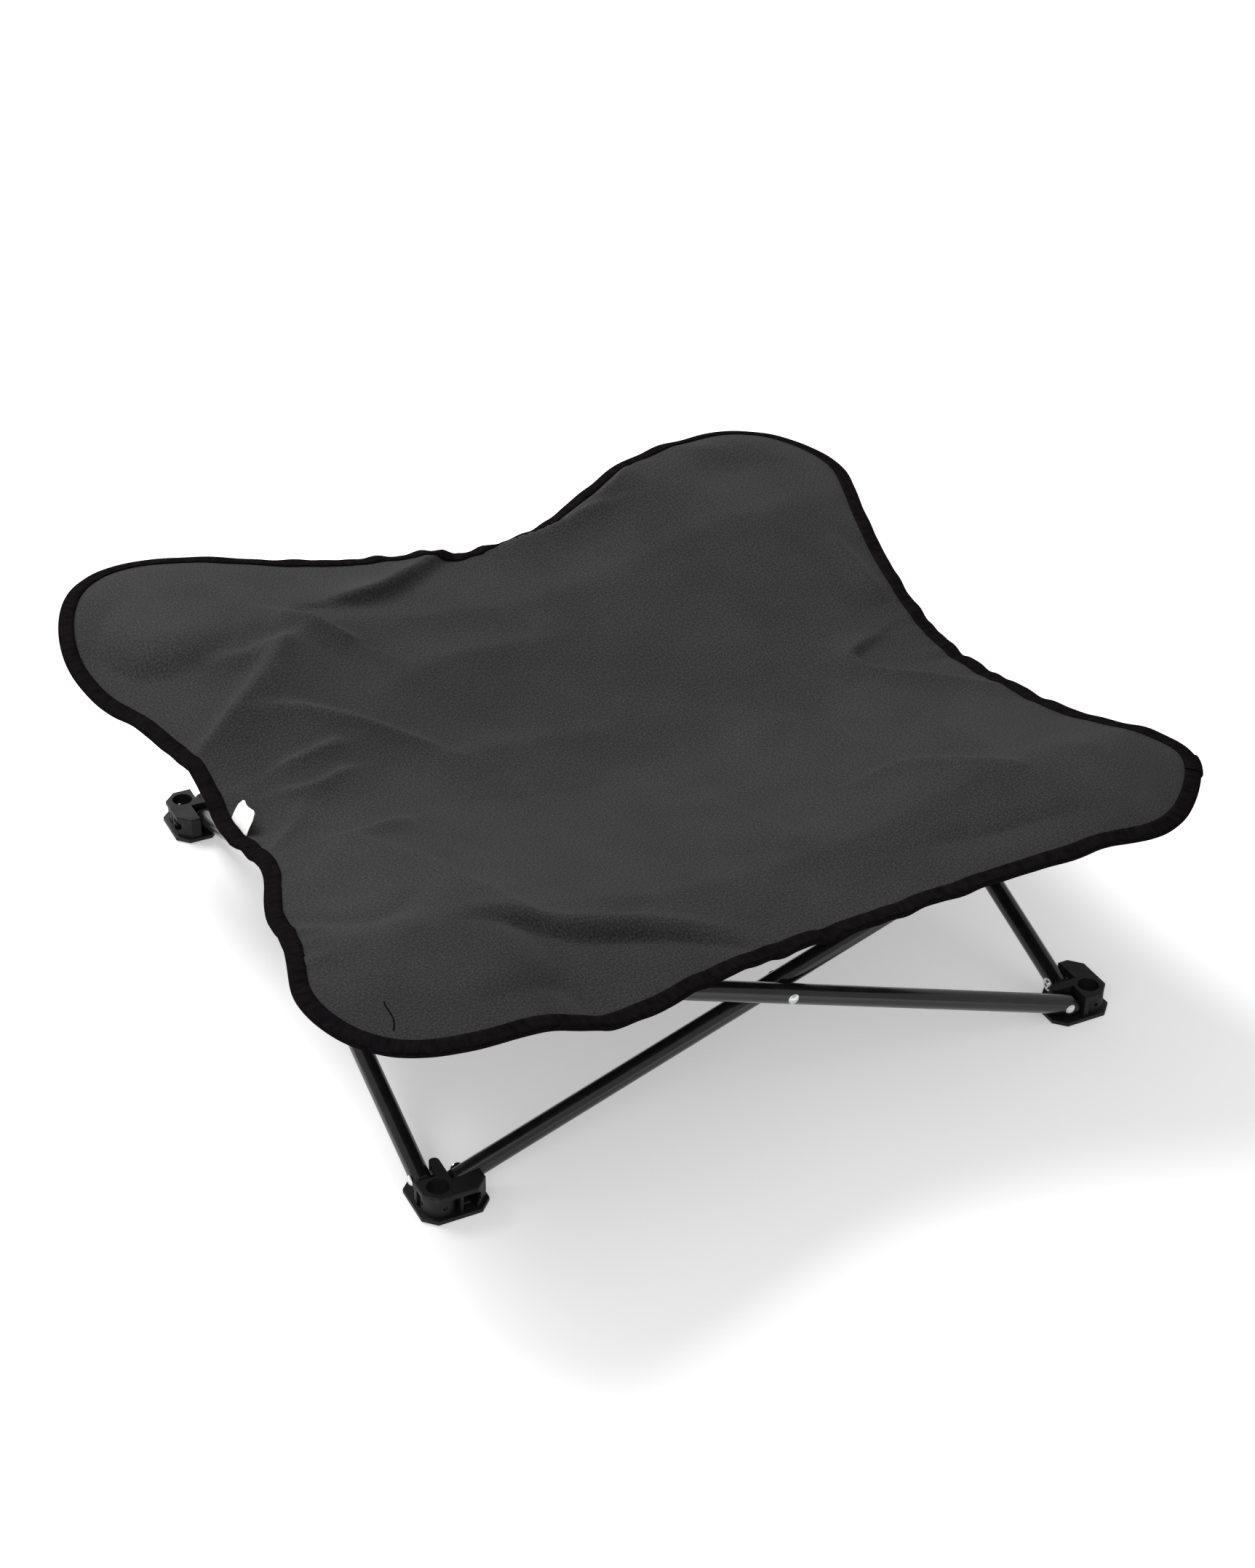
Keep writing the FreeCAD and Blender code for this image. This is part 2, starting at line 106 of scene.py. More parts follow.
# ---- pockets, label and thread ----
POCKET_CLOTH = 0.0012
POCKET_RINGS = 12
POCKET_HEADINGS = 48
POCKET_START = 0.012       # bore axis to the pocket's inner edge
POCKET_SEAM = 0.004        # gap between the pocket's edge and the binding
POCKET_GATHER = 0.0012     # depth of its gathers
LABEL_LENGTH = 0.036
LABEL_HEIGHT = 0.017
LABEL_MIDDLE = 0.006       # how far back of the left side's middle it is sewn in
LABEL_CLOTH = 0.0005
LABEL_STEPS = 9
THREAD_ENDS = ((-0.327, -0.303), (-0.331, -0.332))      # in the flat cut
THREAD_RADIUS = 0.0005
THREAD_BOW = 0.004

OUT = SIDE_REACH - HALF
SIDE_RADIUS = (HALF**2 + OUT**2 - EAR_RADIUS**2) / (2 * (EAR_RADIUS - OUT))
SIDE_CENTRE = SIDE_REACH + SIDE_RADIUS
QUARTER = math.pi / 2

# Where the cloth leaves its plan: place, how far the move is felt, and the move. Millimetres.
NUDGES = [
    ((177, 347), 76, (-3, 12, 15)),       # back right ear, propped up on its hub
    ((300, 345), 62, (0, 6, 9)),
    ((-60, 325), 90, (1, 4, 6)),
    ((-352, 222), 66, (-18, -6, -26)),    # left side, which hangs beside the back left ear
    ((-342, 130), 55, (-8, -3, -9)),
    ((-355, 335), 60, (3, 2, 3)),
    ((-330, 15), 62, (-13, -5, -9)),
    ((-337, -150), 64, (-17, 2, -4)),
    ((-362, -250), 55, (-8, 2, -3)),
    ((-340, -340), 60, (0, 0, -4)),       # front left ear
    ((-160, -344), 80, (-8, -19, -14)),
    ((-290, -372), 50, (0, 5, 0)),
    ((356, -356), 86, (-18, 20, 3)),      # front right ear, tucked short
    ((262, -362), 52, (0, 5, 2)),
    ((338, -160), 60, (-3, -1, -5)),
]

# Folds: line in plan, half width, height, and lean. Millimetres. The left side of the line is
# the steep one for a lean up to 1, and the right side above 1.
FOLDS = [
    (((-4, 329), (-93, 267), (-152, 253)), 11, 13, 0.5),
    (((-201, 244), (-177, 223), (-148, 197)), 8, 9, 0.7),
    (((-270, 195), (-241, 189), (-205, 200)), 7, 7, 1.0),
    (((-200, 205), (-256, 148), (-318, 96)), 13, 14, 1.6),
    (((-257, 121), (-194, 98), (-135, 57)), 9, 8, 0.6),
    (((-266, 58), (-235, 62), (-211, 71)), 6, 7, 0.8),
    (((-276, 32), (-249, 23), (-213, 37)), 7, 7, 0.8),
    (((-310, -44), (-285, -22), (-267, 7)), 7, 5, 1.0),
    (((-262, -58), (-234, -62), (-205, -47)), 7, 8, 0.8),
    (((-262, -58), (-227, -130), (-211, -186), (-185, -243)), 13, 9, 0.6),
    (((-334, -156), (-303, -191), (-279, -201), (-239, -173)), 11, -4, 1.0),
    (((-229, -241), (-180, -257), (-101, -274), (-42, -309)), 8, -6, 0.7),
    (((-226, -228), (-176, -243), (-100, -258), (-48, -286)), 10, 5, 1.0),
    (((35, -75), (42, -135), (59, -207)), 14, 5, 0.7),
    (((141, -155), (179, -168), (231, -240)), 9, 8, 0.6),
    (((274, 42), (233, 22), (237, -8), (274, -39), (313, -80)), 7, 8, 0.7),
    (((300, 176), (301, 127), (302, 77)), 11, 8, 1.0),
    (((208, 357), (240, 345), (275, 325), (298, 281)), 15, 3, 1.0),
    (((186, 332), (152, 314), (100, 312)), 9, 11, 1.4),
    (((140, 300), (90, 303), (22, 318)), 9, 13, 1.4),
    (((-167, 120), (-74, 169), (37, 173)), 26, 5, 1.0),
    (((-150, 39), (-67, 51), (38, 47)), 26, 4, 1.0),
    (((-351, -187), (-335, -190), (-318, -196)), 6, 3, 1.0),
    (((-359, -212), (-343, -212), (-325, -214)), 6, 3, 1.0),
    (((-361, -240), (-346, -237), (-330, -236)), 6, 3, 1.0),
    (((-163, -371), (-190, -320), (-215, -270)), 18, -5, 1.0),
    (((120, -264), (185, -290), (240, -295)), 20, -6, 1.0),
]


# ---- the surface of the cloth ----
def edge_reach(heading):
    """Middle of the bed to the cloth's edge, for headings in radians."""
    angle = np.abs((heading + QUARTER / 2) % QUARTER - QUARTER / 2)
    sine, cosine = np.sin(angle), np.cos(angle)
    along = HALF * (sine + cosine)
    ear = along + np.sqrt(np.maximum(EAR_RADIUS**2 - 2 * HALF**2 + along**2, 0))
    side = SIDE_CENTRE * cosine - np.sqrt(np.maximum(SIDE_RADIUS**2 - (SIDE_CENTRE * sine) ** 2, 0))
    touching = math.atan2(HALF * SIDE_RADIUS, HALF * SIDE_RADIUS + SIDE_CENTRE * EAR_RADIUS)
    return np.where(angle > touching, ear, side)


def rise(distance):
    """0 in the middle of the bed, climbing to 1 where the cloth reaches the level round the hubs."""
    share = np.minimum(1, np.abs(distance) / (LEVEL_FROM * HALF))
    top = math.hypot(1, BOTTOM_ROUNDING) - BOTTOM_ROUNDING
    return (np.hypot(share, BOTTOM_ROUNDING) - BOTTOM_ROUNDING) / top


def plan_height(x, y):
    """Height of the middle of the cloth before its nudges and folds."""
    across, along = rise(x), rise(y)
    side_lift = SIDE_TOP - MIDDLE_TOP
    corner_lift = EAR_TOP - MIDDLE_TOP - 2 * side_lift
    height = MIDDLE_TOP + side_lift * (across + along) + corner_lift * across * along
    past_hub = np.maximum(0, np.hypot(np.abs(x) - HALF, np.abs(y) - HALF) / EAR_RADIUS - 0.3) / 0.7
    in_ear = np.clip((np.abs(x) + np.abs(y) - 2 * HALF) / EAR_RADIUS + 0.5, 0, 1)
    return height - EAR_DROOP * past_hub**2 * in_ear - CLOTH / 2


def smooth_line(points, count=40):
    """Points along a Catmull-Rom curve through the given ones."""
    p = np.array([points[0], *points, points[-1]], float)
    out = []
    for i in range(1, len(p) - 2):
        for t in np.linspace(0, 1, count, endpoint=False):
            a, b, c, d = p[i - 1:i + 3]
            squared, cubed = (2 * a - 5 * b + 4 * c - d) * t**2, (3 * b - a - 3 * c + d) * t**3
            out.append(0.5 * (2 * b + (c - a) * t + squared + cubed))
    return np.array([*out, p[-1]])


def fold_height(place, line, width, height, lean):
    """How far one fold lifts each place, with its steep side on the left for a lean up to 1."""
    points = smooth_line(np.array(line) / 1000)
    away = place[:, None, :] - points[None, :, :]
    squared = (away**2).sum(axis=2)
    nearest = squared.argmin(axis=1)
    rows = np.arange(len(place))
    step = np.gradient(points, axis=0)[nearest]
    gap = away[rows, nearest]
    left = step[:, 0] * gap[:, 1] - step[:, 1] * gap[:, 0] > 0
    steep, gentle = width * 0.9 * min(lean, 1 / lean), width * (1.3 if lean == 1 else 2.3)
    reach = np.where(left == (lean <= 1), steep, gentle) / 1000
    share = nearest / (len(points) - 1)
    taper = np.sin(math.pi * (0.06 + 0.88 * share)) ** 0.8
    return height / 1000 * taper * np.exp(-(squared[rows, nearest] / reach**2) ** 0.65)


def rim_waves(inward, heading):
    """The uneven lift of the cloth beside its binding, along the hollow sides."""
    side = np.cos(2 * heading) ** 2
    run = heading * SIDE_REACH * 1000
    wave = np.sin(run / 7.6) + 0.8 * np.sin(run / 5.1 + 1.3) + 0.5 * np.sin(run / 3.2 + 2.1)
    return 0.0011 * wave * (0.15 + 0.85 * side) * np.exp(-inward / 0.016)


def cloth_points():
    """The cloth's grid of points in plan and height, with each point's place in the flat cut."""
    steps = np.linspace(-1, 1, GRID + 1)
    u, v = [a.ravel() for a in np.meshgrid(steps, steps)]
    x, y = u * np.sqrt(1 - v**2 / 2), v * np.sqrt(1 - u**2 / 2)
    heading, share = np.arctan2(y, x), np.hypot(x, y)
    reach = edge_reach(heading)
    place = np.stack([share * reach * np.cos(heading), share * reach * np.sin(heading)], axis=1)
    height = plan_height(place[:, 0], place[:, 1])
    points = np.column_stack([place, height])
    free = 1 - hub_share(place, NUDGE_CLEAR)
    for middle, felt, move in NUDGES:
        squared = ((place - np.array(middle) / 1000) ** 2).sum(axis=1)
        points += (np.exp(-squared / (felt / 1000) ** 2) * free)[:, None] * np.array(move) / 1000
    return points, place


def from_plate(place):
    """Distance in plan from the middle of the nearest hub's plate."""
    return np.hypot(np.abs(place[:, 0]) - HALF + PLATE_MIDDLE, np.abs(place[:, 1]) - HALF + PLATE_MIDDLE)


def hub_share(place, reach):
    """1 over the hubs' plates, and less with distance from them."""
    return np.exp(-(from_plate(place) / reach) ** 4)


def over_hubs(points):
    """Heights that keep the cloth on top of the hubs' plates, and let it fall away smoothly round them."""
    past = np.maximum(0, from_plate(points) - PLATE_REACH)
    lowest = HUB_TOP + CLOTH / 2 + 0.0004 - 6 * past**2 - 60 * past**3
    gap = lowest - points[:, 2]
    return points[:, 2] + (gap + np.hypot(gap, 0.0012)) / 2


def add_folds(sheet):
    """Press the folds and the rim's unevenness into the settled, finer cloth."""
    points = read_points(sheet.data)
    place = cut_places(sheet.data)
    heading = np.arctan2(place[:, 1], place[:, 0])
    inward = edge_reach(heading) - np.hypot(place[:, 0], place[:, 1])
    lift = rim_waves(inward, heading)
    for line, width, height, lean in FOLDS:
        low = np.min(line, axis=0) / 1000 - 0.06
        high = np.max(line, axis=0) / 1000 + 0.06
        near = np.flatnonzero(np.all((place > low) & (place < high), axis=1))
        lift[near] += fold_height(place[near], line, width, height, lean)
    points[:, 2] += lift * (1 - hub_share(place, FOLD_CLEAR))
    points[:, 2] = over_hubs(points)
    sheet.data.vertices.foreach_set("co", points.astype(np.float32).ravel())
    sheet.data.update()


def cut_places(mesh):
    """Each point's place in the flat cut."""
    places = np.zeros((len(mesh.vertices), 2))
    layer = mesh.uv_layers["cut"].data
    for loop in mesh.loops:
        places[loop.vertex_index] = layer[loop.index].uv
    return places


def cloth_mesh():
    """The cloth as one sheet with no thickness. Its UV map "cut" is the flat cut, in metres."""
    points, place = cloth_points()
    mesh = bpy.data.meshes.new("cloth")
    mesh.from_pydata(points.tolist(), [], grid_faces(GRID, GRID))
    uv = mesh.uv_layers.new(name="cut")
    for loop in mesh.loops:
        uv.data[loop.index].uv = place[loop.vertex_index]
    return add_object("cloth", mesh)


def grid_faces(rows, columns):
    """The faces of a grid of points that are listed row by row."""
    wide = columns + 1
    first = [i * wide + j for i in range(rows) for j in range(columns)]
    return [(a, a + 1, a + wide + 1, a + wide) for a in first]


def surface_normals(points, faces):
    """A smooth normal at each point of a surface."""
    mesh = bpy.data.meshes.new("surface")
    mesh.from_pydata(points, [], faces)
    mesh.update()
    normals = np.array([v.normal for v in mesh.vertices])
    bpy.data.meshes.remove(mesh)
    return normals


def hold_shares(points):
    """How firmly each point is held: fully on the hubs and ears' tips, and loosely elsewhere."""
    x, y = np.abs(points[:, 0]), np.abs(points[:, 1])
    from_hub = np.hypot(x - HALF, y - HALF)
    on_hub = np.clip(1.6 - from_hub / 0.03, 0, 1)
    in_tip = np.clip((x + y - 2 * HALF) / 0.05, 0, 1)
    return np.maximum(np.maximum(on_hub, in_tip), LOOSE_HOLD)


def settle(sheet):
    """Let the cloth settle a little under its own weight, loosely held to its plan, and keep the shape."""
    points = read_points(sheet.data)
    group = sheet.vertex_groups.new(name="held")
    for index, share in enumerate(hold_shares(points)):
        group.add([index], float(share), "REPLACE")
    cloth = sheet.modifiers.new("cloth", "CLOTH")
    settings = cloth.settings
    settings.quality = 6
    settings.mass = 0.1
    settings.tension_stiffness = settings.compression_stiffness = 12
    settings.shear_stiffness = 6
    settings.bending_stiffness = 6
    settings.vertex_group_mass = group.name
    settings.pin_stiffness = 0.6
    cloth.collision_settings.use_collision = False
    cloth.point_cache.frame_start, cloth.point_cache.frame_end = 1, SETTLE_FRAMES
    for step in range(1, SETTLE_FRAMES + 1):
        bpy.context.scene.frame_set(step)
    evaluated = sheet.evaluated_get(bpy.context.evaluated_depsgraph_get())
    settled = read_points(evaluated.data)
    sheet.modifiers.remove(cloth)
    moved = even_out(settled - points)
    distance = np.linalg.norm(moved, axis=1, keepdims=True)
    moved *= np.minimum(1, SETTLE_MOST / np.maximum(distance, 1e-9))
    sheet.data.vertices.foreach_set("co", (points + moved).astype(np.float32).ravel())
    sheet.data.update()
    bpy.context.scene.frame_set(1)
    print("settled: mean", distance.mean(), "most", distance.max())


def even_out(moved, passes=6):
    """The settled cloth's movement without the small buckles of its cells."""
    grid = moved.reshape(GRID + 1, GRID + 1, 3)
    for _ in range(passes):
        wide = np.pad(grid, ((1, 1), (1, 1), (0, 0)), mode="edge")
        around = wide[1:-1, 1:-1] * 4 + wide[:-2, 1:-1] + wide[2:, 1:-1] + wide[1:-1, :-2] + wide[1:-1, 2:]
        grid = around / 8
    return grid.reshape(-1, 3)


def read_points(mesh):
    """A mesh's points as an array."""
    points = np.zeros(len(mesh.vertices) * 3, np.float32)
    mesh.vertices.foreach_get("co", points)
    return points.reshape(-1, 3).astype(float)


def finer(sheet):
    """Subdivide the sheet once, smoothly."""
    sheet.modifiers.new("finer", "SUBSURF").levels = 1
    evaluated = sheet.evaluated_get(bpy.context.evaluated_depsgraph_get())
    mesh = bpy.data.meshes.new_from_object(evaluated)
    sheet.modifiers.clear()
    sheet.data = mesh


def cut_at_seams(sheet):
    """Cut the sheet's faces along every line where it is split into pieces."""
    cuts = [((side * SEAM, 0, 0), (1, 0, 0)) for side in (-1, 0, 1)]
    cuts += [((0, side * SEAM, 0), (0, 1, 0)) for side in (-1, 0, 1)]
    cuts += [((0, 0, 0), (1, 1, 0)), ((0, 0, 0), (1, -1, 0))]
    bm = bmesh.new()
    bm.from_mesh(sheet.data)
    for place, normal in cuts:
        everything = bm.verts[:] + bm.edges[:] + bm.faces[:]
        bmesh.ops.bisect_plane(bm, geom=everything, dist=1e-4, plane_co=place, plane_no=normal)
    bm.to_mesh(sheet.data)
    bm.free()


# ---- pieces of the cloth ----
def region_of(x, y):
    """Which piece of the sling a place in plan belongs to: ("ear", k), ("side", k) or ("middle", k, half)."""
    corner = (0 if x < 0 else 1) if y < 0 else (2 if x > 0 else 3)
    if abs(x) > SEAM and abs(y) > SEAM:
        return ("ear", corner)
    side = (0 if y < 0 else 2) if abs(y) > abs(x) else (1 if x > 0 else 3)
    if max(abs(x), abs(y)) > SEAM:
        return ("side", side)
    return ("middle", side, 0 if corner == side else 1)


def sheet_arrays(sheet):
    """Points, smooth normals, cut places and faces of a sheet."""
    mesh = sheet.data
    normals = np.array([v.normal for v in mesh.vertices])
    faces = [tuple(p.vertices) for p in mesh.polygons]
    return read_points(mesh), normals, cut_places(mesh), faces


def boundary_edges(faces):
    """The directed edges that only one face uses."""
    used = {(a, b) for face in faces for a, b in zip(face, face[1:] + face[:1])}
    return [edge for edge in used if edge[::-1] not in used]


def thick_piece(name, points, normals, cut, faces, thickness):
    """A closed cloth piece from some faces of a sheet, shaded as part of the whole sheet."""
    used = sorted({v for face in faces for v in face})
    local = {v: i for i, v in enumerate(used)}
    count = len(used)
    p, n, place = points[used], normals[used], cut[used]
    both = np.concatenate([p + n * thickness / 2, p - n * thickness / 2])
    upper = [tuple(local[v] for v in face) for face in faces]
    lower = [tuple(v + count for v in reversed(face)) for face in upper]
    walls = [(local[b], local[a], local[a] + count, local[b] + count) for a, b in boundary_edges(faces)]
    mesh = bpy.data.meshes.new(name)
    mesh.from_pydata(both.tolist(), [], upper + lower + walls)
    uv = mesh.uv_layers.new(name="cut")
    places = np.concatenate([place, place])
    for loop in mesh.loops:
        uv.data[loop.index].uv = places[loop.vertex_index]
    shade_as_sheet(mesh, np.concatenate([n, -n]), len(upper) * 2)
    return add_object(name, mesh)


def shade_as_sheet(mesh, vertex_normals, smooth_faces):
    """Smooth the first faces with the given normals, and leave the walls after them flat."""
    normals = []
    for index, face in enumerate(mesh.polygons):
        face.use_smooth = True
        for v in face.vertices:
            normals.append(tuple(vertex_normals[v]) if index < smooth_faces else tuple(face.normal))
    mesh.normals_split_custom_set(normals)


def add_object(name, data):
    """A new object in the scene for a mesh, curve, light or camera."""
    piece = bpy.data.objects.new(name, data)
    bpy.context.scene.collection.objects.link(piece)
    return piece


def turned(point, quarter):
    """A point of the front side or front left corner, turned to another."""
    x, y, z = point
    for _ in range(quarter):
        x, y = -y, x
    return (x, y, z)


def follow_side(piece, side):
    """A piece along one side: its place is baked into its points, and the side's ends are worked out but not
    used, so it does not follow the tubes.
    """
    start, end = turned((-SEAM, -HALF, SIDE_TOP), side), turned((SEAM, -HALF, SIDE_TOP), side)
    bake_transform(piece)
    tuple(start)
    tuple(end)


def follow_region(piece, region):
    """Hang a piece of the sling on the frame: an ear on its hub's top and a part of the middle on its tube. A
    side's piece is only baked in place, and the middle's gathering axis and anchor are worked out but not
    used.
    """
    kind, place = region[:2]
    if kind == "ear":
        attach(piece, f"top_{CORNERS[place]}")
    elif kind == "side":
        follow_side(piece, place)
    else:
        tube = ("outer_tube_", "inner_tube_")[region[2]] + SIDES[place]
        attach(piece, tube)
        axis, anchor = turned((0, 1, 0), place), turned((0, -GATHER, 0), place)
        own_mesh(piece)
        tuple(axis)
        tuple(anchor)


def region_name(region):
    """sling_ear_front_left, sling_side_front, sling_middle_front_a and so on."""
    kind, place = region[:2]
    if kind == "ear":
        return f"sling_ear_{CORNERS[place]}"
    if kind == "side":
        return f"sling_side_{SIDES[place]}"
    return f"sling_middle_{SIDES[place]}_{'ab'[region[2]]}"


def flat_size(cut, faces):
    """Width, length and area of some faces in the flat cut."""
    used = cut[sorted({v for face in faces for v in face})]
    width, length = used.max(axis=0) - used.min(axis=0)
    area = 0.0
    for face in faces:
        x, y = cut[list(face)].T
        area += abs(np.dot(x, np.roll(y, -1)) - np.dot(y, np.roll(x, -1))) / 2
    return (float(width), float(length)), float(area)


def sling_pieces(sheet, material):
    """The sling in sixteen pieces: four ears, four sides and the eight parts of the middle."""
    points, normals, cut, faces = sheet_arrays(sheet)
    groups = {}
    for face in faces:
        x, y = cut[list(face)].mean(axis=0)
        px, py = points[list(face)].mean(axis=0)[:2]
        groups.setdefault(region_of(px, py), []).append(face)
    for region, members in sorted(groups.items()):
        piece = thick_piece(region_name(region), points, normals, cut, members, CLOTH)
        piece.data.materials.append(material)
        flat, area = flat_size(cut, members)
        follow_region(piece, region)
    for corner in range(4):
        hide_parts(f"sling_{CORNERS[corner]}")


def corner_signs(corner):
    """Which way a corner lies from the middle of the bed, in x and in y."""
    return (-1, 1, 1, -1)[corner], (-1, -1, 1, 1)[corner]


# ---- binding ----
def rim_of(points, normals, faces):
    """The cloth's edge in order: its points, its normals and the directions inward along the cloth."""
    edges = dict(boundary_edges(faces))
    start = max(edges, key=lambda v: points[v][0])
    loop, v = [start], edges[start]
    while v != start:
        loop.append(v)
        v = edges[v]
    p, n = points[loop], normals[loop]
    along = np.roll(p, -1, axis=0) - np.roll(p, 1, axis=0)
    inward = np.cross(n, along)
    inward /= np.linalg.norm(inward, axis=1, keepdims=True)
    return p, n, inward


def even_line(points, others, spacing):
    """Points at even spacing round a closed line, with other rows of vectors sampled the same way."""
    closed = np.vstack([points, points[:1]])
    length = np.concatenate([[0], np.cumsum(np.linalg.norm(np.diff(closed, axis=0), axis=1))])
    count = int(round(length[-1] / spacing))
    at = np.linspace(0, length[-1], count, endpoint=False)
    rows = []
    for values in (points, *others):
        wrapped = np.vstack([values, values[:1]])
        rows.append(np.column_stack([np.interp(at, length, wrapped[:, k]) for k in range(3)]))
    return rows, at


def tape_section(thick):
    """The folded tape across its width: (row of the cloth under it, distance out past it, height off it)."""
    top = CLOTH / 2 + thick
    nose = [(0, 1.3 * thick * math.sin(a), top * math.cos(a)) for a in np.linspace(0, math.pi, 9)]
    upper = [(3, 0, CLOTH / 2), (3, 0, top), (2, 0, top * 1.06), (1, 0, top * 1.06)]
    lower = [(row, out, -height) for row, out, height in reversed(upper)]
    return upper + nose + lower


def rim_rows(points, normals, faces):
    """The cloth's edge, evenly spaced, with the length run along it at each point."""
    p, n, inward = rim_of(points, normals, faces)
    (p, n, inward), at = even_line(p, (n, inward), TAPE_STEP)
    n /= np.linalg.norm(n, axis=1, keepdims=True)
    inward /= np.linalg.norm(inward, axis=1, keepdims=True)
    return p, n, inward, at


def under_tape(tree, p, n, inward):
    """Rows of points on the cloth's middle under the tape, and which way is up from each."""
    rows = [p]
    for share in (1 / 3, 2 / 3, 1):
        wanted = p + inward * TAPE_WIDTH * share
        rows.append(np.array([tree.find_nearest(Vector(q))[0] for q in wanted]))
    along = np.gradient(p, axis=0)
    ups = []
    for before, after in zip([rows[0], *rows[:-1]], [*rows[1:], rows[-1]]):
        up = np.cross(along, after - before)
        up /= np.linalg.norm(up, axis=1, keepdims=True)
        ups.append(up * np.sign((up * n).sum(axis=1, keepdims=True)))
    return rows, ups


def tape_piece(name, tree, p, n, inward, at, thick=TAPE):
    """One stretch of the binding: its folded section run along the cloth's edge, with closed ends."""
    section = tape_section(thick)
    middles, ups = under_tape(tree, p, n, inward)
    rows = [middles[row] - inward * out + ups[row] * height for row, out, height in section]
    across = np.linspace(0, 2 * (TAPE_WIDTH + thick), len(section))
    count, width = len(p), len(section)
    points = np.stack(rows, axis=1).reshape(-1, 3)
    faces = []
    for i in range(count - 1):
        for j in range(width):
            k = (j + 1) % width
            faces.append((i * width + j, i * width + k, (i + 1) * width + k, (i + 1) * width + j))
    ends = np.concatenate([points[:width][::-1], points[-width:]])
    first_end = len(points)
    for first in (first_end, first_end + width):
        faces.append(tuple(range(first, first + width)))
    mesh = bpy.data.meshes.new(name)
    mesh.from_pydata(np.concatenate([points, ends]).tolist(), [], faces)
    uv = mesh.uv_layers.new(name="cut")
    for loop in mesh.loops:
        i, j = divmod(loop.vertex_index, width)
        uv.data[loop.index].uv = (at[min(i, count - 1)], across[j])
    for face in mesh.polygons:
        face.use_smooth = len(face.vertices) == 4
    return add_object(name, mesh)


def binding_pieces(sheet, material):
    """The tape round the whole edge, in eight stretches and a lap that move with the cloth beside them."""
    points, normals, _, faces = sheet_arrays(sheet)
    tree = BVHTree.FromPolygons(points.tolist(), faces)
    p, n, inward, at = rim_rows(points, normals, faces)
    x, y = p[:, 0], p[:, 1]
    for place in range(4):
        sign_x, sign_y = corner_signs(place)
        ear = (x * sign_x > SEAM) & (y * sign_y > SEAM)
        piece = stretch(f"binding_ear_{CORNERS[place]}", tree, ear, p, n, inward)
        dress_tape(piece, material)
        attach(piece, f"top_{CORNERS[place]}")
        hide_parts(f"binding_{CORNERS[place]}")
        out = turned((0, -1, 0), place)
        side = (x * out[0] + y * out[1] > SEAM) & (np.abs(x * out[1] - y * out[0]) <= SEAM)
        piece = stretch(f"binding_side_{SIDES[place]}", tree, side, p, n, inward)
        dress_tape(piece, material)
        follow_side(piece, place)
    heading = np.degrees(np.arctan2(y, x))
    lap = (heading > LAP_HEADINGS[0]) & (heading < LAP_HEADINGS[1])
    piece = stretch("binding_lap", tree, lap, p, n, inward, TAPE * LAP_THICKER)
    dress_tape(piece, material)
    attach(piece, "top_front_right")


def dress_tape(piece, material):
    """Give a stretch of the binding its look."""
    piece.data.materials.append(material)


def stretch(name, tree, chosen, p, n, inward, thick=TAPE):
    """The tape along the chosen points of the edge, and one point more so that stretches meet."""
    count = len(p)
    first = next(i for i in range(count) if chosen[i] and not chosen[i - 1])
    total = int(chosen.sum())
    index = [(first + i) % count for i in range(total + 1)]
    run = TAPE_STEP * (first + np.arange(total + 1))
    return tape_piece(name, tree, p[index], n[index], inward[index], run, thick)


def thread_piece(sheet, material):
    """A loose end of sewing thread that lies on the front left ear."""
    points, _, cut, _ = sheet_arrays(sheet)
    where = place_finder(points, cut)
    start, end = where(THREAD_ENDS[0]), where(THREAD_ENDS[1])
    rows = []
    for share in np.linspace(0, 1, 13):
        row = start + (end - start) * share
        row += np.array([THREAD_BOW * math.sin(math.pi * share) * share, 0, CLOTH / 2 + THREAD_RADIUS])
        rows.append(row)
    curve = bpy.data.curves.new("thread", "CURVE")
    curve.dimensions, curve.bevel_depth, curve.bevel_resolution = "3D", THREAD_RADIUS, 2
    spline = curve.splines.new("POLY")
    spline.points.add(len(rows) - 1)
    for point, row in zip(spline.points, rows):
        point.co = (*row, 1)
    maker = add_object("thread_maker", curve)
    mesh = bpy.data.meshes.new_from_object(maker.evaluated_get(bpy.context.evaluated_depsgraph_get()))
    bpy.data.objects.remove(maker)
    uv = mesh.uv_layers.new(name="cut")
    for loop in mesh.loops:
        uv.data[loop.index].uv = mesh.vertices[loop.vertex_index].co.xy
    piece = add_object("loose_thread", mesh)
    piece.data.materials.clear()
    piece.data.materials.append(material)
    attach(piece, "top_front_left")


